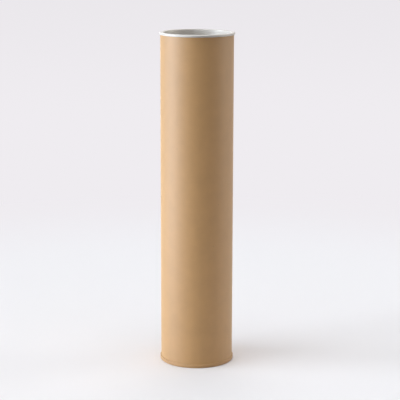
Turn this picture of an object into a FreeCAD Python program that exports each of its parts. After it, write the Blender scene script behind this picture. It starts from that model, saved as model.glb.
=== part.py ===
"""Cardboard mailing tube: a kraft tube with a pressed board base and a push-in plastic end plug.

Millimetres, +Z up. The origin is on the floor, at the centre of the round foot. The tube stands on
its base, and the lap seam of its outer sheet is at the back, towards +Y.
"""
import FreeCAD, Part
import math
import os

Vector = FreeCAD.Vector
Z_AXIS = Vector(0, 0, 1)
CENTRE = Vector(0, 0, 0)

# Tube body: kraft sheet wound straight on a round mandrel
bore_radius = 31.75          # 2 1/2 in bore
tube_wall = 1.6              # about 1/16 in
standing_height = 304.8      # 12 in from the floor to the tube's cut top end
sheet_thickness = 0.3        # one turn of the outer sheet, the height of the lap's step
lap_blend_angle = 22.0       # degrees over which the wall sinks by one sheet before the lap
lap_angle = 90.0             # the lap is at the back

# Base: kraft board pressed into a shallow dish, glued in and around the tube's foot
board_thickness = 0.75
glue_line = 0.05             # radial room for the glue, on both sides of the tube wall
rim_height = 3.5             # the turned-up rim, from the floor to its top
rim_edge_round = 0.3
foot_round = 1.0             # outer lower edge of the rim
foot_inner_round = 0.85      # inner lower edge, where the foot turns up to the panel
panel_recess = 5.0           # from the floor up to the underside of the panel
panel_corner_round = 1.1     # where the board turns from its upright part to the panel

# End plug: white moulded cup with a flange, pushed into the top of the tube
flange_proud = 0.9           # beyond the tube's outer wall
flange_thickness = 1.7
flange_top_round = 0.6
flange_under_round = 0.4
mouth_round = 0.6            # inner edge of the flange, at the mouth of the cup
plug_depth = 20.0            # from the flange's underside to the plug's lower face
plug_clearance = 0.35        # radial, between the plug's plain wall and the bore
plug_wall = 0.8
plug_draft = 1.0             # degrees
plug_floor = 1.0
plug_nose_round = 1.6        # outer lower edge, which leads the plug into the bore

# Crush ribs round the plug, which grip the bore
rib_count = 12
rib_width = 1.4
rib_clearance = 0.1          # running fit of the rib crests in the bore
rib_top_gap = 1.5            # below the flange
rib_lead_in = 2.5            # length over which a rib's lower end runs out into the wall
rib_bottom_gap = 3.0         # from the rib's lower end to the plug's lower face

# Roundings are drawn as straight facets, which keeps the turned rings light to mesh
longest_facet = 0.8

# Sizes that follow from those above
tube_radius = bore_radius + tube_wall
tube_bottom = board_thickness
flange_radius = tube_radius + flange_proud
overall_height = standing_height + flange_thickness
plug_bottom = standing_height - plug_depth
draft_slope = math.tan(math.radians(plug_draft))


def at_angle(radius, degrees, height):
    """Return the point at a radius and an angle round the tube's axis."""
    angle = math.radians(degrees)
    return Vector(radius * math.cos(angle), radius * math.sin(angle), height)


def rounding_points(before, corner, after, rounding):
    """Return the points of a rounded corner: an arc drawn as short straight facets."""
    towards_before = (before - corner).normalize()
    towards_after = (after - corner).normalize()
    half_angle = towards_before.getAngle(towards_after) / 2
    bisector = (towards_before + towards_after).normalize()
    arc_centre = corner + bisector * (rounding / math.sin(half_angle))
    turn = math.pi - 2 * half_angle
    facets = math.ceil(rounding * turn / longest_facet)
    sideways = (towards_after - towards_before).normalize()
    points = []
    for step in range(facets + 1):
        angle = turn * (step / facets - 0.5)
        points.append(arc_centre + (sideways * math.sin(angle) - bisector * math.cos(angle)) * rounding)
    return points


def rounded_section(corners):
    """Return a closed half section from (radius, height, rounding) corners."""
    points = [Vector(radius, 0, height) for radius, height, rounding in corners]
    roundings = [rounding for radius, height, rounding in corners]
    outline = []
    for index, (point, rounding) in enumerate(zip(points, roundings)):
        if rounding:
            following = points[(index + 1) % len(points)]
            outline += rounding_points(points[index - 1], point, following, rounding)
        else:
            outline.append(point)
    return Part.Face(Part.makePolygon(outline + outline[:1]))


def turned(corners):
    """Return the solid that a rounded half section sweeps round the Z axis."""
    return rounded_section(corners).revolve(CENTRE, Z_AXIS, 360)


def make_tube():
    """Kraft tube body, with the straight lap of its outer sheet down the back."""
    lap_edge = at_angle(tube_radius, lap_angle, tube_bottom)
    far_side = at_angle(tube_radius, lap_angle + 180, tube_bottom)
    blend_start = at_angle(tube_radius, lap_angle - lap_blend_angle, tube_bottom)
    blend_middle = at_angle(tube_radius - sheet_thickness / 4, lap_angle - lap_blend_angle / 2, tube_bottom)
    lap_foot = at_angle(tube_radius - sheet_thickness, lap_angle, tube_bottom)
    outline = Part.Wire([
        Part.Arc(lap_edge, far_side, blend_start).toShape(),
        Part.Arc(blend_start, blend_middle, lap_foot).toShape(),
        Part.LineSegment(lap_foot, lap_edge).toShape(),
    ])
    length = standing_height - tube_bottom
    body = Part.Face(outline).extrude(Vector(0, 0, length))
    bore = Part.makeCylinder(bore_radius, length, Vector(0, 0, tube_bottom), Z_AXIS)
    return body.cut(bore)


def make_base_cap():
    """Pressed board base: a panel set up inside the foot, and a rim turned up round the outside."""
    rim_inner = tube_radius + glue_line
    rim_outer = rim_inner + board_thickness
    upright_outer = bore_radius - glue_line
    upright_inner = upright_outer - board_thickness
    panel_top = panel_recess + board_thickness
    panel_inner_round = panel_corner_round - board_thickness
    return turned([
        (0, panel_recess, 0),
        (upright_inner, panel_recess, panel_inner_round),
        (upright_inner, 0, foot_inner_round),
        (rim_outer, 0, foot_round),
        (rim_outer, rim_height, rim_edge_round),
        (rim_inner, rim_height, 0),
        (rim_inner, tube_bottom, 0),
        (upright_outer, tube_bottom, 0),
        (upright_outer, panel_top, panel_corner_round),
        (0, panel_top, 0),
    ])


def plug_wall_radius(height):
    """Return the outer radius of the plug's tapered wall at a height."""
    return bore_radius - plug_clearance - (standing_height - height) * draft_slope


def make_plug_cup():
    """Moulded cup of the plug, with its flange."""
    floor_top = plug_bottom + plug_floor
    nose_inner_round = plug_nose_round - plug_wall
    return turned([
        (0, plug_bottom, 0),
        (plug_wall_radius(plug_bottom), plug_bottom, plug_nose_round),
        (plug_wall_radius(standing_height), standing_height, 0),
        (flange_radius, standing_height, flange_under_round),
        (flange_radius, overall_height, flange_top_round),
        (plug_wall_radius(overall_height) - plug_wall, overall_height, mouth_round),
        (plug_wall_radius(floor_top) - plug_wall, floor_top, nose_inner_round),
        (0, floor_top, 0),
    ])


def make_crush_ribs():
    """Upright ribs round the plug: slices of one turned band, which runs out at its lower end."""
    crest = bore_radius - rib_clearance
    top = standing_height - rib_top_gap
    bottom = plug_bottom + rib_bottom_gap
    root = plug_wall_radius(plug_bottom) - plug_wall / 2
    band = turned([
        (root, bottom, 0),
        (plug_wall_radius(bottom), bottom, 0),
        (crest, bottom + rib_lead_in, 0),
        (crest, top, 0),
        (root, top, 0),
    ])
    slices = []
    for index in range(rib_count):
        slab = Part.makeBox(bore_radius, rib_width, top - bottom, Vector(0, -rib_width / 2, bottom))
        slab.rotate(CENTRE, Z_AXIS, (index + 0.5) * 360 / rib_count)
        slices.append(slab.common(band))
    return slices


def make_end_cap():
    """Push-in end plug: the cup with its crush ribs, one moulding."""
    return make_plug_cup().fuse(make_crush_ribs()).removeSplitter()


def write_parts():
    """Make each piece and write it to its own file."""
    pieces = {
        "tube": make_tube(),
        "base_cap": make_base_cap(),
        "end_cap": make_end_cap(),
    }
    os.makedirs("parts", exist_ok=True)
    for name, shape in pieces.items():
        if len(shape.Solids) != 1 or not shape.isValid():
            raise ValueError(name + " isn't one valid solid")
        shape.Solids[0].exportStep("parts/" + name + ".step")
        box = shape.BoundBox
        print(name, "volume", round(shape.Volume, 1), "z", round(box.ZMin, 3), round(box.ZMax, 3))


write_parts()
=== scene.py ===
"""Looks of the cardboard mailing tube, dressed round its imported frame.

Metres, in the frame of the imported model: +Z up, the origin on the floor at the centre of the foot,
and the lap of the outer sheet at the back, towards +Y.
"""
from __future__ import annotations

import logging
import math
from dataclasses import dataclass
from enum import Enum, IntEnum
from typing import Any

import bmesh
import bpy
import numpy as np
from mathutils import Matrix, Vector


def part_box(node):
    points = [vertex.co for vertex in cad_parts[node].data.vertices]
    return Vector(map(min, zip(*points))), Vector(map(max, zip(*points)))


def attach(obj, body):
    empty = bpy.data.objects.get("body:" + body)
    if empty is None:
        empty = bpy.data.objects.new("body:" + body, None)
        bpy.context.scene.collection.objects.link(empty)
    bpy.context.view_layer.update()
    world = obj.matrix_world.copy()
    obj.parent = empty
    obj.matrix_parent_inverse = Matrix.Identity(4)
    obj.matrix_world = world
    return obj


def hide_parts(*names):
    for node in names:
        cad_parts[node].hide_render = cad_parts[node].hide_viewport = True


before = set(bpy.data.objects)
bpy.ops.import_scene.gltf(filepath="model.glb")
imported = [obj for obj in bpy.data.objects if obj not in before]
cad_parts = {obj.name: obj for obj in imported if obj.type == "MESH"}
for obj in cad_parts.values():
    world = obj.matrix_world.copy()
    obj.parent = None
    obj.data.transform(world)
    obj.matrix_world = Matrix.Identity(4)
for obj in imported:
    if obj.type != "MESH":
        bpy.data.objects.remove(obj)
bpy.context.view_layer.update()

LOG = logging.getLogger("mailing_tube")
MM = 0.001
PHOTO_SIDE = 400
SENSOR_WIDTH = 36.0
WRAP_MAP = "Wrap"
TUBE_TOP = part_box("tube")[1].z
TUBE_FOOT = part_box("tube")[0].z
TUBE_RADIUS = (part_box("tube")[1].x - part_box("tube")[0].x) / 2
BORE_RADIUS = 31.75 * MM
ARC_STEP = math.radians(12)
ARC_FEWEST_STEPS = 4
POLE_MERGE = 1e-8

# The spans of a noise's values over which a pattern goes from its low to its high.
NARROW_SPAN = (0.3, 0.7)
MIDDLE_SPAN = (0.25, 0.75)
WIDE_SPAN = (0.2, 0.8)

Colour = tuple[float, float, float]
Corner = tuple[float, float, float]
Wave = tuple[float, int, float]
Swell = tuple[int, float, float]
Socket = bpy.types.NodeSocket
Piece = bpy.types.Object


def linear(red: int, green: int, blue: int) -> Colour:
    """Return a colour that is written in 8-bit screen values as scene-linear values.

    Args:
        red: Screen value from 0 to 255.
        green: Screen value from 0 to 255.
        blue: Screen value from 0 to 255.

    Returns:
        The three linear values, by the usual screen curve.
    """
    screen = np.array([red, green, blue]) / 255
    values = np.where(screen <= 0.04045, screen / 12.92, ((screen + 0.055) / 1.055) ** 2.4)
    return tuple(float(value) for value in values)


class Shader:
    """One material's or world's node tree, with short calls that add nodes and link them."""

    def __init__(self, owner: bpy.types.Material | bpy.types.World) -> None:
        """Clear the owner's node tree.

        Args:
            owner: The new material or world.
        """
        owner.use_nodes = True
        self.owner = owner
        self.tree = owner.node_tree
        self.tree.nodes.clear()

    def add(self, kind: str, inputs: dict[str | int, Any] | None = None,
            **settings: Any) -> bpy.types.Node:
        """Add a node.

        Args:
            kind: The node's type name, without its ShaderNode prefix.
            inputs: A value, or a socket to link from, for each named or numbered input.
            **settings: The node's own properties.

        Returns:
            The new node.
        """
        node = self.tree.nodes.new("ShaderNode" + kind)
        for name, value in settings.items():
            setattr(node, name, value)
        for name, value in (inputs or {}).items():
            if isinstance(value, bpy.types.NodeSocket):
                self.tree.links.new(value, node.inputs[name])
            else:
                node.inputs[name].default_value = value
        return node

    def math(self, operation: str, *values: Any) -> Socket:
        """Return the result of one sum, product or comparison of values and sockets."""
        return self.add("Math", dict(enumerate(values)), operation=operation).outputs[0]

    def length(self, place: Any) -> Socket:
        """Return how far a place is from the origin."""
        return self.add("VectorMath", {0: place}, operation="LENGTH").outputs["Value"]

    def ramp(self, value: Any, low: float, high: float, to_low: float, to_high: float) -> Socket:
        """Return a value carried smoothly from low to high onto to_low to to_high."""
        inputs = {"Value": value, 1: low, 2: high, 3: to_low, 4: to_high}
        return self.add("MapRange", inputs, interpolation_type="SMOOTHSTEP").outputs[0]

    def noise(self, place: Any, scale: float, detail: float = 2.0, rough: float = 0.5) -> Socket:
        """Return a noise value from 0 to 1 at a place, with scale in cycles to the metre."""
        inputs = {"Vector": place, "Scale": scale, "Detail": detail, "Roughness": rough}
        return self.add("TexNoise", inputs).outputs["Fac"]

    def stretched(self, place: Any, scale: tuple[float, float, float]) -> Socket:
        """Return a place with each of its axes multiplied by its own scale."""
        return self.add("Mapping", {"Vector": place, "Scale": scale}).outputs[0]

    def times(self, colour: Any, factor: Any) -> Socket:
        """Return a colour with all its channels multiplied by one factor."""
        return self.add("VectorMath", {0: colour, "Scale": factor}, operation="SCALE").outputs[0]

    def mottle(self, colour: Any, value: Any, span: tuple[float, float], depth: float) -> Socket:
        """Return a colour times 1 less the depth up to 1 plus it, over the value's span."""
        return self.times(colour, self.ramp(value, *span, 1 - depth, 1 + depth))

    def stain(self, colour: Any, share: Any, shade: float) -> Socket:
        """Return a colour that is whole where the share is 0, and times the shade where it is 1."""
        return self.times(colour, self.ramp(share, 0.0, 1.0, 1.0, shade))

    def surface(self, inputs: dict[str, Any], height: Socket, relief: float) -> bpy.types.Material:
        """End a material with one principled surface over a fine relief.

        Args:
            inputs: The surface's own inputs.
            height: The relief's height, in shares of its depth.
            relief: The relief's depth.

        Returns:
            The material.
        """
        bump = self.add("Bump", {"Strength": 1.0, "Distance": relief, "Height": height})
        body = self.add("BsdfPrincipled", {**inputs, "Normal": bump.outputs[0]})
        self.finish(body.outputs[0])
        return self.owner

    def finish(self, surface: Socket) -> None:
        """Link a shader to the output."""
        kind = "OutputWorld" if isinstance(self.owner, bpy.types.World) else "OutputMaterial"
        self.add(kind, {"Surface": surface})


class Lay(Enum):
    """How a paper's pattern lies: along a sheet's winding, or every way through pressed board."""

    WOUND = "wound"
    PRESSED = "pressed"


@dataclass(frozen=True)
class Speck:
    """One small dark dent of the wall.

    Its turn is in degrees round the tube, from +X towards +Y, its height is above the floor, its
    shade is what its middle multiplies the colour by, and its depth counts the paper's reliefs.
    """

    turn: float
    height: float
    reach: float = 0.9 * MM
    shade: float = 0.8
    depth: float = 3.0


@dataclass(frozen=True)
class KraftPaper:
    """Smooth brown kraft paper: fine fibres, faint clouding and streaks, a few flecks and specks.

    Scales are in cycles to the metre. Depths are shares of the colour, to each side of it.
    """

    name: str
    colour: Colour
    lay: Lay = Lay.WOUND
    roughness: float = 0.6
    gloss_spread: float = 0.05
    cloud_scale: float = 70.0
    cloud_depth: float = 0.03
    streak_scale: float = 150.0
    streak_stretch: float = 25.0
    streak_depth: float = 0.012
    fibre_across: float = 4200.0
    fibre_along: float = 1300.0
    fibre_depth: float = 0.045
    pressed_coarseness: float = 3.0
    fleck_scale: float = 230.0
    fleck_reach: float = 0.07
    fleck_share: float = 0.93
    fleck_shade: float = 0.72
    relief: float = 0.012 * MM
    refraction: float = 1.5
    gloss_level: float = 1.0
    chalkiness: float = 0.8
    sheen: float = 0.2
    sheen_roughness: float = 0.45
    specks: tuple[Speck, ...] = ()

    def place(self, shader: Shader) -> Socket:
        """Return where the pattern lies.

        Args:
            shader: The material's node tree.

        Returns:
            The place on the wrap map if the paper is wound, and in the piece's space if pressed.
        """
        if self.lay is Lay.WOUND:
            return shader.add("UVMap", uv_map=WRAP_MAP).outputs[0]
        return shader.add("TexCoord").outputs["Object"]

    def speck_dents(self, shader: Shader, place: Socket) -> list[Socket]:
        """Return how far each speck dents the paper at a place.

        Args:
            shader: The material's node tree.
            place: The place on the wrap map.

        Returns:
            A share for each speck: 1 at its middle, 0 from its reach on.
        """
        dents = []
        for speck in self.specks:
            middle = (math.radians(speck.turn) * TUBE_RADIUS, speck.height - TUBE_FOOT, 0.0)
            far = shader.add("VectorMath", {0: place, 1: middle}, operation="DISTANCE")
            dents.append(shader.ramp(far.outputs["Value"], 0.0, speck.reach, 1.0, 0.0))
        return dents

    def make(self) -> bpy.types.Material:
        """Make the finish: the paper's colour times clouds, fibres, streaks, flecks and specks.

        Returns:
            The material.
        """
        shader = Shader(bpy.data.materials.new(self.name))
        place = self.place(shader)
        fibres = (self.fibre_along, self.fibre_across, 1.0)
        streaks = (self.streak_scale, self.streak_scale / self.streak_stretch, 1.0)
        if self.lay is Lay.PRESSED:
            fibres = (self.fibre_across / self.pressed_coarseness,) * 3
            streaks = (self.streak_scale,) * 3
        cloud = shader.noise(place, self.cloud_scale, detail=4.0, rough=0.6)
        fibre = shader.noise(shader.stretched(place, fibres), 1.0, detail=3.0, rough=0.65)
        streak = shader.noise(shader.stretched(place, streaks), 1.0)
        colour = shader.mottle(self.colour, cloud, MIDDLE_SPAN, self.cloud_depth)
        colour = shader.mottle(colour, fibre, WIDE_SPAN, self.fibre_depth)
        colour = shader.mottle(colour, streak, WIDE_SPAN, self.streak_depth)
        cells = shader.add("TexVoronoi", {"Vector": place, "Scale": self.fleck_scale})
        near = shader.ramp(cells.outputs["Distance"], 0.0, self.fleck_reach, 1.0, 0.0)
        luck = shader.add("SeparateColor", {0: cells.outputs["Color"]}).outputs[0]
        chosen = shader.math("GREATER_THAN", luck, self.fleck_share)
        colour = shader.stain(colour, shader.math("MULTIPLY", near, chosen), self.fleck_shade)
        height = fibre
        for speck, dent in zip(self.specks, self.speck_dents(shader, place)):
            colour = shader.stain(colour, dent, speck.shade)
            height = shader.math("SUBTRACT", height, shader.math("MULTIPLY", dent, speck.depth))
        shiny, dull = self.roughness - self.gloss_spread, self.roughness + self.gloss_spread
        return shader.surface({
            "Base Color": colour,
            "Roughness": shader.ramp(fibre, *WIDE_SPAN, shiny, dull),
            "IOR": self.refraction,
            "Specular IOR Level": self.gloss_level,
            "Diffuse Roughness": self.chalkiness,
            "Sheen Weight": self.sheen,
            "Sheen Roughness": self.sheen_roughness,
        }, height, self.relief)


OUTER_SHEET = KraftPaper(
    name="kraft_outer_sheet",
    colour=linear(203, 157, 97),
    specks=(Speck(237.6, 204.4 * MM), Speck(306.0, 152.9 * MM), Speck(297.0, 114.9 * MM)),
)
BORE_SHEET = KraftPaper(
    name="kraft_bore_sheet",
    colour=linear(188, 148, 104),
    roughness=0.75,
    cloud_depth=0.05,
    fibre_depth=0.07,
)
BASE_BOARD = KraftPaper(
    name="kraft_base_board",
    colour=linear(200, 155, 98),
    lay=Lay.PRESSED,
    roughness=0.65,
    cloud_depth=0.035,
    fibre_depth=0.06,
    fleck_share=0.9,
    relief=0.02 * MM,
)


@dataclass(frozen=True)
class WoundEdge:
    """Cut end of the wound wall: soft pale board, with a fine dark line between its turns."""

    name: str = "wound_cut_edge"
    colour: Colour = linear(200, 168, 126)
    roughness: float = 0.9
    gloss_level: float = 0.3
    chalkiness: float = 1.0
    line_shade: float = 0.62
    line_share: float = 0.2
    turn_thickness: float = 0.3 * MM
    lap_turn: float = 0.25
    wander: float = 0.25
    wander_scale: float = 380.0
    fuzz_scale: float = 3800.0
    fuzz_dark: float = 0.9
    fuzz_pale: float = 1.08
    relief: float = 0.04 * MM

    def make(self) -> bpy.types.Material:
        """Make the finish.

        A line lies where the depth below the outer wall over one turn's thickness, less the
        share of the circle that is passed since the lap, is a whole number.

        Returns:
            The material.
        """
        shader = Shader(bpy.data.materials.new(self.name))
        place = shader.add("TexCoord").outputs["Object"]
        axes = shader.add("SeparateXYZ", {0: place}).outputs
        radius = shader.length(shader.stretched(place, (1.0, 1.0, 0.0)))
        inwards = shader.math("SUBTRACT", TUBE_RADIUS, radius)
        depth = shader.math("DIVIDE", inwards, self.turn_thickness)
        angle = shader.math("ARCTAN2", axes["Y"], axes["X"])
        turned = shader.math("DIVIDE", angle, 2 * math.pi)
        passed = shader.math("SUBTRACT", turned, self.lap_turn)
        fuzz = shader.noise(place, self.fuzz_scale, detail=3.0, rough=0.6)
        drift = shader.math("MULTIPLY", shader.noise(place, self.wander_scale), self.wander)
        turns = shader.math("ADD", shader.math("SUBTRACT", depth, passed), drift)
        off_line = shader.math("PINGPONG", turns, 0.5)
        line = shader.ramp(off_line, 0.0, self.line_share / 2, 1.0, 0.0)
        colour = shader.stain(self.colour, line, self.line_shade)
        fuzzy = shader.ramp(fuzz, *MIDDLE_SPAN, self.fuzz_dark, self.fuzz_pale)
        return shader.surface({
            "Base Color": shader.times(colour, fuzzy),
            "Roughness": self.roughness,
            "Specular IOR Level": self.gloss_level,
            "Diffuse Roughness": self.chalkiness,
        }, shader.math("SUBTRACT", fuzz, line), self.relief)


@dataclass(frozen=True)
class WhitePlastic:
    """Soft white moulded polyethylene: satin, faintly see-through at its thin edges."""

    name: str = "white_plastic"
    colour: Colour = linear(206, 202, 197)
    tint_dark: float = 0.985
    roughness: float = 0.38
    gloss_spread: float = 0.04
    refraction: float = 1.51
    drift_scale: float = 60.0
    grain_scale: float = 2400.0
    relief: float = 0.006 * MM
    glow: float = 0.15
    glow_tint: Colour = (1.0, 0.95, 0.9)
    glow_depth: float = 1.2 * MM

    def make(self) -> bpy.types.Material:
        """Make the finish: a plain colour that drifts a little, over a fine grain.

        Returns:
            The material.
        """
        shader = Shader(bpy.data.materials.new(self.name))
        place = shader.add("TexCoord").outputs["Object"]
        grain = shader.noise(place, self.grain_scale)
        drift = shader.noise(place, self.drift_scale)
        tint = shader.ramp(drift, *NARROW_SPAN, self.tint_dark, 1.0)
        shiny, dull = self.roughness - self.gloss_spread, self.roughness + self.gloss_spread
        return shader.surface({
            "Base Color": shader.times(self.colour, tint),
            "Roughness": shader.ramp(drift, *NARROW_SPAN, shiny, dull),
            "IOR": self.refraction,
            "Subsurface Weight": self.glow,
            "Subsurface Radius": self.glow_tint,
            "Subsurface Scale": self.glow_depth,
        }, grain, self.relief)


def sines(angles: np.ndarray, waves: tuple[Wave, ...], start: float = 0.0) -> np.ndarray:
    """Return a start value plus a sum of sines of the angle.

    Args:
        angles: Angles in radians.
        waves: (height, count to the turn, phase in radians) of each sine.
        start: The value about which the sum swings.

    Returns:
        An array of the angles' shape.
    """
    rows = (height * np.sin(count * angles + phase) for height, count, phase in waves)
    return sum(rows, start)


def rounded_outline(corners: list[Corner], longest: float, closed: bool) -> np.ndarray:
    """Return the points of an outline with rounded corners, as (radius, height) rows.

    Each rounding is an arc tangent to both sides: its centre lies on the corner's bisector, at the
    rounding over the sine of the half angle. Straight stretches are divided evenly.

    Args:
        corners: (radius, height, rounding) of each corner, in order.
        longest: The longest step between two points of a straight stretch.
        closed: True if the last corner joins the first.

    Returns:
        An array of shape (points, 2). A closed outline doesn't repeat its first point.
    """
    places = np.array([corner[:2] for corner in corners])
    count = len(corners)
    bends = []
    for index, (_, _, rounding) in enumerate(corners):
        if rounding == 0:
            bends.append(places[index][None])
            continue
        before = places[index - 1] - places[index]
        after = places[(index + 1) % count] - places[index]
        before = before / np.linalg.norm(before)
        after = after / np.linalg.norm(after)
        half = math.acos(float(np.clip(before @ after, -1, 1))) / 2
        bisector = (before + after) / np.linalg.norm(before + after)
        sideways = (after - before) / np.linalg.norm(after - before)
        centre = places[index] + bisector * (rounding / math.sin(half))
        turn = math.pi - 2 * half
        steps = max(ARC_FEWEST_STEPS, math.ceil(turn / ARC_STEP))
        angles = np.linspace(-turn / 2, turn / 2, steps + 1)[:, None]
        bends.append(centre + (sideways * np.sin(angles) - bisector * np.cos(angles)) * rounding)
    stretches = []
    for index in range(count):
        stretches.append(bends[index])
        if index == count - 1 and not closed:
            continue
        start = bends[index][-1]
        end = bends[(index + 1) % count][0]
        pieces = max(1, math.ceil(float(np.linalg.norm(end - start)) / longest))
        stretches.append(start + (end - start) * np.linspace(0, 1, pieces + 1)[1:-1, None])
    return np.concatenate(stretches)


class Band(IntEnum):
    """What a band of a piece's faces shows: each has its own material."""

    SKIN = 0
    CUT_EDGE = 1
    LINING = 2


def close_poles(mesh: bpy.types.Mesh) -> None:
    """Merge the points that a grid has more than once on the axis.

    Args:
        mesh: The mesh, which is changed.
    """
    work = bmesh.new()
    work.from_mesh(mesh)
    bmesh.ops.remove_doubles(work, verts=work.verts, dist=POLE_MERGE)
    work.to_mesh(mesh)
    work.free()


def swept_ring(name: str, radii: np.ndarray, heights: np.ndarray, angles: np.ndarray,
               closed: bool, bands: np.ndarray | None = None) -> Piece:
    """Return a mesh object from a grid of points round the Z axis.

    The point in row i and column j is at (radii cos angle, radii sin angle, heights), and each face
    joins rows i and i + 1 with columns j and j + 1. Columns always join round. The wrap map holds
    the angle times the tube's radius, and the length walked along the outline, both in metres.

    Args:
        name: The piece's name.
        radii: Radius of each point, rows by columns.
        heights: Height of each point, rows by columns.
        angles: Angle of each column, in radians, rising.
        closed: True if the last row joins the first.
        bands: The band of each face, rows by columns, or None where all is skin.

    Returns:
        The object, linked to the scene, with its place in its mesh.
    """
    rows, columns = radii.shape
    points = np.stack([radii * np.cos(angles), radii * np.sin(angles), heights], axis=-1)
    row = np.arange(rows if closed else rows - 1)[:, None]
    column = np.arange(columns)[None, :]
    row_next = (row + 1) % rows
    column_next = (column + 1) % columns
    grid = [(row, column), (row, column_next), (row_next, column_next), (row_next, column)]
    faces = np.stack([place[0] * columns + place[1] for place in grid], axis=-1).reshape(-1, 4)
    outwards = np.diff(radii, axis=0, append=radii[:1])
    upwards = np.diff(heights, axis=0, append=heights[:1])
    walked = np.vstack([np.zeros((1, columns)), np.cumsum(np.hypot(outwards, upwards), axis=0)])
    wrapped = np.append(angles, angles[0] + 2 * math.pi) * TUBE_RADIUS
    left = np.broadcast_to(wrapped[column], (len(row), columns))
    right = np.broadcast_to(wrapped[column + 1], (len(row), columns))
    low, high = walked[row, column], walked[row + 1, column]
    corners = np.stack([left, low, right, low, right, high, left, high], axis=-1)
    mesh = bpy.data.meshes.new(name)
    mesh.from_pydata(points.reshape(-1, 3), [], faces.tolist())
    wrap = mesh.uv_layers.new(name=WRAP_MAP)
    wrap.uv.foreach_set("vector", corners.astype(np.float32).ravel())
    mesh.polygons.foreach_set("use_smooth", np.ones(len(faces), bool))
    if bands is not None:
        shown = np.broadcast_to(bands, (len(row), columns)).astype(np.int32)
        mesh.polygons.foreach_set("material_index", shown.ravel())
    if not radii[0].any() or not radii[-1].any():
        close_poles(mesh)
    piece = bpy.data.objects.new(name, mesh)
    bpy.context.scene.collection.objects.link(piece)
    return piece


def dress(piece: Piece, node: str, body: str,
          materials: list[bpy.types.Material]) -> None:
    """Give a piece its materials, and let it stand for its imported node.

    Args:
        piece: The finished piece.
        node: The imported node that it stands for.
        body: The body that it moves with.
        materials: The material of each band, in the bands' order.
    """
    for material in materials:
        piece.data.materials.append(material)
    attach(piece, body)
    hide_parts(node)
    LOG.info("%s stands for %s", piece.name, node)


@dataclass
class TubeBody:
    """The wound kraft tube: outer wall with the lap of its last sheet, bore and cut ends.

    A swell is a slow sine of the wall: its count round the tube, its count along it and its phase.
    """

    sheet: float = 0.3 * MM
    lap_angle: float = 90.0
    lap_blend: float = 22.0
    lap_slant: float = 0.09
    edge_round: float = 0.15 * MM
    edge_share: float = 0.25
    waviness: float = 0.03 * MM
    swells: tuple[Swell, ...] = ((2, 0.9, 0.0), (3, -0.6, 1.3), (5, 1.7, 2.1))
    longest_step: float = 6 * MM
    columns: int = 360
    sharp_from: float = 40.0

    def waves(self, turned: np.ndarray, heights: np.ndarray) -> np.ndarray:
        """Return how far the wall lies inside its true round.

        It is the waviness times the mean of the swells, carried onto 0 to 1.

        Args:
            turned: Degrees round the tube from the lap, one to a column.
            heights: Height of each point, rows by columns.

        Returns:
            The depth of each point, rows by columns, from 0 to the waviness.
        """
        angle, rise = np.radians(turned), heights / TUBE_TOP * 2 * math.pi
        total = sum(np.sin(count * angle + climb * rise + phase)
                    for count, climb, phase in self.swells)
        return self.waviness * (0.5 + total / (2 * len(self.swells)))

    def bands(self, outline: np.ndarray) -> np.ndarray:
        """Return what each row of faces shows.

        Args:
            outline: The section's points, as (radius, height) rows.

        Returns:
            Skin outside, lining in the bore and cut edge at the ends, in one column.
        """
        middle = ((outline + np.roll(outline, -1, axis=0)) / 2)[:, :1]
        bands = np.where(middle > (TUBE_RADIUS + BORE_RADIUS) / 2, Band.SKIN, Band.LINING)
        inset = np.minimum(TUBE_RADIUS - middle, middle - BORE_RADIUS)
        return np.where(inset > self.edge_round * self.edge_share, Band.CUT_EDGE, bands)

    def make(self) -> Piece:
        """Make the tube's piece.

        The outer radius sinks before the lap by the sheet's thickness times the square of the share
        of the blend that is passed, and jumps back at the lap, whose step shows the cut edge.

        Returns:
            The piece.
        """
        outline = rounded_outline([
            (TUBE_RADIUS, TUBE_FOOT, 0.0),
            (TUBE_RADIUS, TUBE_TOP, self.edge_round),
            (BORE_RADIUS, TUBE_TOP, self.edge_round),
            (BORE_RADIUS, TUBE_FOOT, 0.0),
        ], self.longest_step, closed=True)
        turned = np.linspace(0, 360 - self.lap_slant, self.columns)
        passed = np.clip((turned - (360 - self.lap_blend)) / self.lap_blend, 0, 1)
        share = (outline[:, :1] - BORE_RADIUS) / (TUBE_RADIUS - BORE_RADIUS)
        heights = np.broadcast_to(outline[:, 1:], (len(outline), self.columns))
        radii = outline[:, :1] - share * (self.sheet * passed**2 + self.waves(turned, heights))
        bands = np.repeat(self.bands(outline), self.columns, axis=1)
        bands[bands[:, -1] == Band.SKIN, -1] = Band.CUT_EDGE
        angles = np.radians(turned + self.lap_angle)
        piece = swept_ring("kraft_tube", radii, heights, angles, True, bands)
        piece.data.set_sharp_from_angle(angle=math.radians(self.sharp_from))
        return piece

    def build(self, cut_edge: bpy.types.Material) -> None:
        """Make the tube and dress it: sheets outside and in the bore, cut edge at the ends.

        Args:
            cut_edge: The finish of the cut ends and of the lap's step.
        """
        finishes = [OUTER_SHEET.make(), cut_edge, BORE_SHEET.make()]
        dress(self.make(), "tube", "tube_body", finishes)


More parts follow.
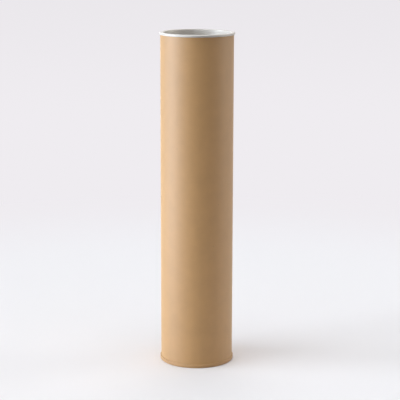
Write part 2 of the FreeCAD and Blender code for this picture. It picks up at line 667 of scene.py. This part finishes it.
@dataclass
class BaseCap:
    """The pressed board base: a rim turned up round the foot and a panel set up inside it."""

    board: float = 0.75 * MM
    glue_line: float = 0.05 * MM
    rim_height: float = 3.5 * MM
    rim_edge_round: float = 0.3 * MM
    rim_top_in_rounds: float = 1.5
    rim_unevenness: float = 0.05 * MM
    rim_waves: tuple[Wave, ...] = ((0.25, 4, 0.7), (0.25, 9, 2.6))
    foot_round: float = 1.0 * MM
    foot_inner_round: float = 0.85 * MM
    panel_corner_round: float = 1.1 * MM
    panel_sag: float = 0.25 * MM
    pleat_count: int = 60
    pleat_depth: float = 0.06 * MM
    pleat_share_on_rim: float = 0.4
    pleat_wander: tuple[Wave, ...] = ((0.8, 3, 0.4), (0.6, 7, 2.0))
    pleat_strength: float = 0.6
    pleat_swell: float = 0.4
    longest_step: float = 3 * MM
    columns: int = 480
    sharp_from: float = 40.0

    def pleats(self, angles: np.ndarray) -> np.ndarray:
        """Return the height of the pleats that drawing the flat disc into a dish leaves.

        A sine round the foot, whose spacing wanders by two slower sines, and whose crests are
        narrower than its hollows because the sine's 0 to 1 share is squared. Its strength swells
        and fades by the product of two more.

        Args:
            angles: Angle of each column, in radians.

        Returns:
            The share of the full depth at each column, from 0 to 1.
        """
        wander = sines(angles, self.pleat_wander)
        swell = np.sin(5 * angles + 1.0) * np.sin(2 * angles)
        strength = self.pleat_strength + self.pleat_swell * swell
        return strength * (0.5 + 0.5 * np.sin(self.pleat_count * angles + wander)) ** 2

    def make(self) -> Piece:
        """Make the base's piece.

        The pleats stand in from the two upright faces, fading out towards the foot. The rim's top
        and its rounded edge sink by up to the unevenness, and the panel sags towards its middle.

        Returns:
            The piece.
        """
        low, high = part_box("base_cap")
        rim_outer = (high.x - low.x) / 2
        rim_inner = TUBE_RADIUS + self.glue_line
        upright_outer = BORE_RADIUS - self.glue_line
        upright_inner = upright_outer - self.board
        panel_under = high.z - self.board
        outline = rounded_outline([
            (0, panel_under, 0),
            (upright_inner, panel_under, self.panel_corner_round - self.board),
            (upright_inner, low.z, self.foot_inner_round),
            (rim_outer, low.z, self.foot_round),
            (rim_outer, self.rim_height, self.rim_edge_round),
            (rim_inner, self.rim_height, 0),
            (rim_inner, TUBE_FOOT, 0),
            (upright_outer, TUBE_FOOT, 0),
            (upright_outer, high.z, self.panel_corner_round),
            (0, high.z, 0),
        ], self.longest_step, closed=False)
        angles = np.linspace(0, 2 * math.pi, self.columns, endpoint=False)
        radius, height = outline[:, :1], outline[:, 1:]

        climbed = np.clip((height - low.z - self.foot_round) / self.foot_round, 0, 1)
        on_rim = (radius > rim_inner + self.board / 2) * self.pleat_share_on_rim
        panel_edge = upright_inner - self.panel_corner_round
        on_upright = (radius < upright_inner + self.board / 2) & (radius > panel_edge)
        below_panel = np.clip((panel_under - height) / self.panel_corner_round, 0, 1)
        depth = self.pleats(angles) * self.pleat_depth
        radii = radius - climbed * depth * (on_rim + on_upright * below_panel)

        uneven = self.rim_unevenness * sines(angles, self.rim_waves, 0.5)
        rim_top = self.rim_height - self.rim_top_in_rounds * self.rim_edge_round
        at_top = (radius > rim_inner - self.glue_line) & (height > rim_top)
        sag = self.panel_sag * np.clip(1 - (radius / upright_inner) ** 2, 0, 1) ** 2
        on_panel = (height > panel_under - self.rim_edge_round) & (radius < panel_edge)
        heights = height - at_top * uneven - on_panel * sag

        rim_cut = (at_top & np.roll(at_top, -1)) & (radius < rim_outer - self.rim_edge_round / 2)
        bands = np.where(rim_cut, Band.CUT_EDGE, Band.SKIN)
        piece = swept_ring("board_base", radii, heights, angles, False, bands[:-1])
        piece.data.set_sharp_from_angle(angle=math.radians(self.sharp_from))
        return piece

    def build(self, cut_edge: bpy.types.Material) -> None:
        """Make the base and dress it: board all over, cut edge on the rim's top.

        Args:
            cut_edge: The finish of the rim's top.
        """
        finishes = [BASE_BOARD.make(), cut_edge]
        dress(self.make(), "base_cap", "tube_body", finishes)


@dataclass
class EndPlug:
    """The moulded push-in plug: cup, flange and crush ribs.

    The columns across a rib are placed in half widths of it, from its middle.
    """

    flange_top_round: float = 0.6 * MM
    lip_drop: float = 0.3 * MM
    lip_gap: float = 0.15 * MM
    lip_round: float = 0.2 * MM
    mouth_round: float = 0.6 * MM
    clearance: float = 0.35 * MM
    wall: float = 0.8 * MM
    draft: float = 1.0
    floor: float = 1.0 * MM
    nose_round: float = 1.6 * MM
    rib_count: int = 12
    rib_width: float = 1.4 * MM
    rib_clearance: float = 0.1 * MM
    rib_top_gap: float = 1.5 * MM
    rib_lead_in: float = 2.5 * MM
    rib_bottom_gap: float = 3.0 * MM
    rib_end: float = 0.3 * MM
    rib_shoulder_power: int = 6
    rib_columns: tuple[float, ...] = (
        -1.15, -1.0, -0.93, -0.8, -0.5, 0.0, 0.5, 0.8, 0.93, 1.0, 1.15)
    columns_between: int = 14
    longest_step: float = 2 * MM
    sharp_from: float = 35.0

    def wall_radius(self, height: np.ndarray | float) -> np.ndarray | float:
        """Return the wall's outer radius, which shrinks downwards by the draft's tangent."""
        drop = TUBE_TOP - height
        return BORE_RADIUS - self.clearance - drop * math.tan(math.radians(self.draft))

    def columns(self) -> tuple[np.ndarray, np.ndarray]:
        """Return the columns' angles, close together at each rib, and the rib's share there.

        The share is the square root of 1 less a high power of the distance across the rib: 1 over
        the middle, falling to 0 at its sides as a rounded shoulder.

        Returns:
            The angles in radians, and the share at each.
        """
        half_rib = self.rib_width / 2 / BORE_RADIUS
        near = np.array(self.rib_columns) * half_rib
        spacing = 2 * math.pi / self.rib_count
        between = np.linspace(near[-1], spacing + near[0], self.columns_between + 2)[1:-1]
        sector = np.concatenate([near, between])
        starts = (np.arange(self.rib_count) + 0.5) * spacing
        angles = (starts[:, None] + sector).ravel()
        across = np.abs(sector) / half_rib
        share = np.sqrt(np.clip(1 - across**self.rib_shoulder_power, 0, 1))
        return angles, np.tile(share, self.rib_count)

    def make(self) -> Piece:
        """Make the plug's piece. A rib adds its height times its share to the wall's radius.

        Returns:
            The piece.
        """
        low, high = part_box("end_cap")
        flange_radius = (high.x - low.x) / 2
        lip_radius = TUBE_RADIUS + self.lip_gap
        lip_low = TUBE_TOP - self.lip_drop
        floor_top = low.z + self.floor
        rib_low = low.z + self.rib_bottom_gap
        rib_high = TUBE_TOP - self.rib_top_gap
        rib_places = [rib_low, rib_low + self.rib_lead_in, rib_high - self.rib_end, rib_high]
        outline = rounded_outline([
            (0, low.z, 0),
            (self.wall_radius(low.z), low.z, self.nose_round),
            *[(self.wall_radius(height), height, 0) for height in rib_places],
            (self.wall_radius(TUBE_TOP), TUBE_TOP, 0),
            (lip_radius, TUBE_TOP, 0),
            (lip_radius, lip_low, self.lip_round),
            (flange_radius, lip_low, self.lip_round),
            (flange_radius, high.z, self.flange_top_round),
            (self.wall_radius(high.z) - self.wall, high.z, self.mouth_round),
            (self.wall_radius(floor_top) - self.wall, floor_top, self.nose_round - self.wall),
            (0, floor_top, 0),
        ], self.longest_step, closed=False)
        radius, height = outline[:, 0], outline[:, 1]
        crest = BORE_RADIUS - self.rib_clearance - self.wall_radius(height)
        reach = np.interp(height, rib_places, [0.0, 1.0, 1.0, 0.0])
        outside = (radius > self.wall_radius(height) - self.wall / 2) & (height < TUBE_TOP)
        angles, share = self.columns()
        radii = radius[:, None] + (crest * reach * outside)[:, None] * share
        heights = np.broadcast_to(height[:, None], radii.shape)
        piece = swept_ring("plug_moulding", radii, heights, angles, False)
        piece.data.set_sharp_from_angle(angle=math.radians(self.sharp_from))
        return piece

    def build(self) -> None:
        """Make the plug and dress it in white plastic."""
        dress(self.make(), "end_cap", "plug", [WhitePlastic().make()])


@dataclass
class PhotoCamera:
    """The camera at the photograph's viewing angle, fitted to the tube's outline."""

    distance_in_radii: float = 37.92
    height_in_radii: float = 12.505
    pitch_down: float = 11.85
    roll: float = 0.13
    focal_pixels: float = 1397.7
    axis_offset_pixels: float = -3.2
    nearest: float = 0.05
    farthest: float = 100.0

    def make(self) -> Piece:
        """Make the camera, and make it the scene's own.

        Returns:
            The camera.
        """
        data = bpy.data.cameras.new("photo_camera")
        data.sensor_width = SENSOR_WIDTH
        data.lens = self.focal_pixels / PHOTO_SIDE * SENSOR_WIDTH
        data.clip_start = self.nearest
        data.clip_end = self.farthest
        camera = bpy.data.objects.new("photo_camera", data)
        bpy.context.scene.collection.objects.link(camera)
        yaw = math.atan(self.axis_offset_pixels / self.focal_pixels)
        pitch = Matrix.Rotation(math.radians(90 - self.pitch_down), 4, "X")
        turn = Matrix.Rotation(yaw, 4, "Z") @ pitch
        turn = turn @ Matrix.Rotation(math.radians(self.roll), 4, "Z")
        back = -self.distance_in_radii * TUBE_RADIUS
        place = Vector((0.0, back, self.height_in_radii * TUBE_RADIUS))
        camera.matrix_world = Matrix.Translation(place) @ turn
        bpy.context.scene.camera = camera
        return camera


@dataclass(frozen=True)
class Lamp:
    """One broad distant lamp.

    Its azimuth is in degrees from the camera's side, positive to the right, its elevation is its
    height above the floor's level, its spread is how wide its disc looks, both in degrees, and its
    strength is the irradiance on a surface that faces it. Its colour multiplies the strength.
    """

    name: str
    azimuth: float
    elevation: float
    spread: float
    strength: float
    colour: Colour = (1.0, 1.0, 1.0)

    def make(self) -> Piece:
        """Make the lamp.

        Returns:
            The lamp, linked to the scene.
        """
        data = bpy.data.lights.new(self.name, "SUN")
        data.energy = self.strength
        data.color = self.colour
        data.angle = math.radians(self.spread)
        lamp = bpy.data.objects.new(self.name, data)
        bpy.context.scene.collection.objects.link(lamp)
        tilt = Matrix.Rotation(math.radians(90 - self.elevation), 4, "X")
        lamp.matrix_world = Matrix.Rotation(math.radians(self.azimuth), 4, "Z") @ tilt
        return lamp


COOL_LIGHT = (0.92, 1.0, 1.07)
WARM_LIGHT = (1.05, 1.0, 0.9)


@dataclass
class Studio:
    """Pale floor, soft lamps and plain surroundings.

    Heights of the sky are the upward share of a direction: 0 is level and 1 is straight up.
    """

    lamps: tuple[Lamp, ...] = (
        Lamp("key", -62.0, 12.0, 16.0, 1.05, COOL_LIGHT),
        Lamp("key_soft", -86.0, 6.0, 34.0, 3.7, COOL_LIGHT),
        Lamp("right_low", 98.0, 10.0, 30.0, 1.08, WARM_LIGHT),
        Lamp("back_high", 180.0, 45.0, 50.0, 0.59),
        Lamp("overhead", 0.0, 89.0, 40.0, 1.54),
        Lamp("top_left", -40.0, 65.0, 30.0, 0.31),
        Lamp("top_right", 40.0, 65.0, 30.0, 0.23),
    )
    floor_reach: float = 0.8
    floor_rings: int = 8
    floor_columns: int = 48
    floor_drop: float = 0.02 * MM
    floor_colour: Colour = linear(235, 234, 237)
    bounce_colour: Colour = linear(206, 204, 204)
    fade_start: float = 0.35
    fade_end: float = 0.75
    backdrop: Colour = linear(239, 236, 240)
    backdrop_high: float = 0.96
    backdrop_span: tuple[float, float] = (-0.15, -0.05)
    air: float = 0.02
    air_span: tuple[float, float] = (-0.02, 0.02)

    def camera_sees(self, shader: Shader) -> Socket:
        """Return where the backdrop is shown as it is, and doesn't light anything.

        Args:
            shader: The node tree of the floor or the world.

        Returns:
            1 on the rays of the camera, of gloss and of clear parts, and 0 on the others.
        """
        path = shader.add("LightPath").outputs
        seen = shader.math("MAXIMUM", path["Is Camera Ray"], path["Is Glossy Ray"])
        return shader.math("MAXIMUM", seen, path["Is Transmission Ray"])

    def make_floor(self) -> Piece:
        """Make the floor, which fades into the plain backdrop far from the object.

        Returns:
            The floor.
        """
        reach = np.linspace(0, self.floor_reach, self.floor_rings)
        angles = np.linspace(0, 2 * math.pi, self.floor_columns, endpoint=False)
        radii = np.broadcast_to(reach[::-1, None], (len(reach), len(angles)))
        floor = swept_ring("floor", radii, np.full(radii.shape, -self.floor_drop), angles, False)
        shader = Shader(bpy.data.materials.new("floor_sheet"))
        far = shader.length(shader.add("TexCoord").outputs["Object"])
        fade = shader.ramp(far, self.fade_start, self.fade_end, 0.0, 1.0)
        lit = shader.add("BsdfDiffuse", {"Color": (*self.floor_colour, 1.0)})
        plain = shader.add("Emission", {"Color": (*self.backdrop, 1.0), "Strength": 1.0})
        seen = shader.add("MixShader", {0: fade, 1: lit.outputs[0], 2: plain.outputs[0]})
        dim = shader.add("BsdfDiffuse", {"Color": (*self.bounce_colour, 1.0)})
        sees = self.camera_sees(shader)
        mix = shader.add("MixShader", {0: sees, 1: dim.outputs[0], 2: seen.outputs[0]})
        shader.finish(mix.outputs[0])
        floor.data.materials.append(shader.owner)
        return floor

    def make_world(self) -> None:
        """Light everything evenly from above, and show a backdrop that darkens a little upwards."""
        world = bpy.data.worlds.new("plain_surroundings")
        bpy.context.scene.world = world
        shader = Shader(world)
        direction = shader.add("TexCoord").outputs["Generated"]
        rise = shader.add("SeparateXYZ", {0: direction}).outputs["Z"]
        above = shader.ramp(rise, *self.air_span, 0.0, self.air)
        air = shader.add("Background", {"Color": (1.0, 1.0, 1.0, 1.0), "Strength": above})
        level = shader.ramp(rise, *self.backdrop_span, 1.0, self.backdrop_high)
        plain = shader.add("Background", {"Color": (*self.backdrop, 1.0), "Strength": level})
        sees = self.camera_sees(shader)
        mix = shader.add("MixShader", {0: sees, 1: air.outputs[0], 2: plain.outputs[0]})
        shader.finish(mix.outputs[0])

    def make(self) -> None:
        """Make the floor, the surroundings and the lamps."""
        self.make_floor()
        self.make_world()
        for lamp in self.lamps:
            lamp.make()


def main() -> None:
    """Build every piece, the camera and the studio."""
    logging.basicConfig(level=logging.INFO, format="%(name)s: %(message)s")
    cut_edge = WoundEdge().make()
    TubeBody().build(cut_edge)
    BaseCap().build(cut_edge)
    EndPlug().build()
    PhotoCamera().make()
    Studio().make()
    bpy.context.scene.view_settings.view_transform = "Standard"


if __name__ == "__main__":
    main()
